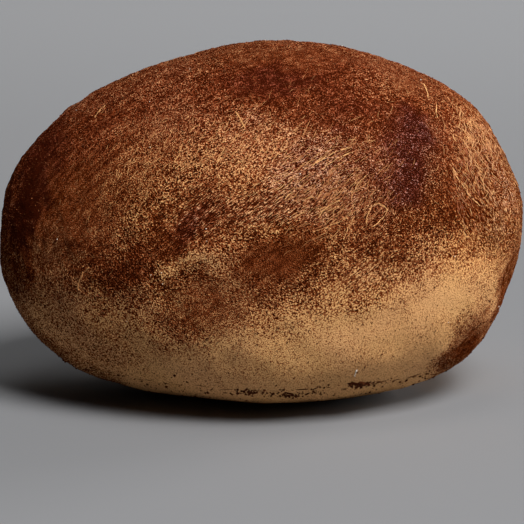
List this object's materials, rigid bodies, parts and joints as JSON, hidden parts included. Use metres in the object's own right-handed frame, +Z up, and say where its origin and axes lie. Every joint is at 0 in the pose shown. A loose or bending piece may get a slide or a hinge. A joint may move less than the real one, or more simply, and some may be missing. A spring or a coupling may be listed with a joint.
{
  "type": "kartoshka cake",
  "caption": "Small egg-shaped potato cake with a smooth caramel coat, brushed with dark cocoa powder that fades out towards its base.",
  "frame": {"origin": "on the ground, under the middle of the cake's box", "axes": "+X along the cake towards its fuller right end, -Y towards its front, which carries the eye, +Z up"},
  "size_m": [0.0734, 0.054, 0.05],
  "materials": {
    "coat": "smooth caramel-coloured coat with a soft satin sheen, brushed over with dark cocoa powder on the top and sides",
    "cocoa": "dry matt cocoa powder, in loose grains and small clumps",
    "crystal": "tiny pale sugar crystals caught in the powder"
  },
  "bodies": {
    "root": {"cake": "coat"}
  },
  "joints": []
}
